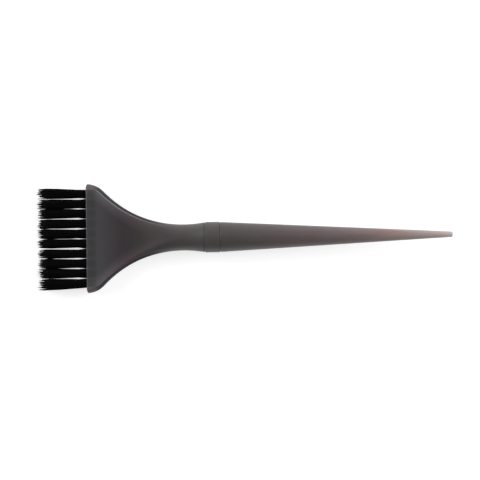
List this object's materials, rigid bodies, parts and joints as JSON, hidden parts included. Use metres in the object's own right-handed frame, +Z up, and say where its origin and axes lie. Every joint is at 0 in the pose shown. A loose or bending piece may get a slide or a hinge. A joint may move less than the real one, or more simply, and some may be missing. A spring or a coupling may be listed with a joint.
{
  "type": "hair tint brush",
  "caption": "Wide flat tint brush: two rows of filament tufts in a flared head, round waist and collar, long tapering sectioning tail.",
  "frame": {"origin": "on the table under the middle of the brush as it lies flat, on the rim of its head and its collar", "axes": "+X from the bristle tips towards the tail, +Y across the head, +Z up from the table; the handle's own axis climbs 2.386 degrees from the head to the tail"},
  "size_m": [0.2197, 0.0578, 0.0165],
  "materials": {
    "handle_plastic": "satin",
    "filament": "satin",
    "anchor_wire": "satin"
  },
  "bodies": {
    "root": {"handle": "handle_plastic", "tuft_upper_01": "filament", "tuft_upper_02": "filament", "tuft_upper_03": "filament", "tuft_upper_04": "filament", "tuft_upper_05": "filament", "tuft_upper_06": "filament", "tuft_upper_07": "filament", "tuft_upper_08": "filament", "tuft_upper_09": "filament", "tuft_upper_10": "filament", "tuft_lower_01": "filament", "tuft_lower_02": "filament", "tuft_lower_03": "filament", "tuft_lower_04": "filament", "tuft_lower_05": "filament", "tuft_lower_06": "filament", "tuft_lower_07": "filament", "tuft_lower_08": "filament", "tuft_lower_09": "filament", "tuft_lower_10": "filament", "anchor_upper_01": "anchor_wire", "anchor_upper_02": "anchor_wire", "anchor_upper_03": "anchor_wire", "anchor_upper_04": "anchor_wire", "anchor_upper_05": "anchor_wire", "anchor_upper_06": "anchor_wire", "anchor_upper_07": "anchor_wire", "anchor_upper_08": "anchor_wire", "anchor_upper_09": "anchor_wire", "anchor_upper_10": "anchor_wire", "anchor_lower_01": "anchor_wire", "anchor_lower_02": "anchor_wire", "anchor_lower_03": "anchor_wire", "anchor_lower_04": "anchor_wire", "anchor_lower_05": "anchor_wire", "anchor_lower_06": "anchor_wire", "anchor_lower_07": "anchor_wire", "anchor_lower_08": "anchor_wire", "anchor_lower_09": "anchor_wire", "anchor_lower_10": "anchor_wire"}
  },
  "joints": []
}
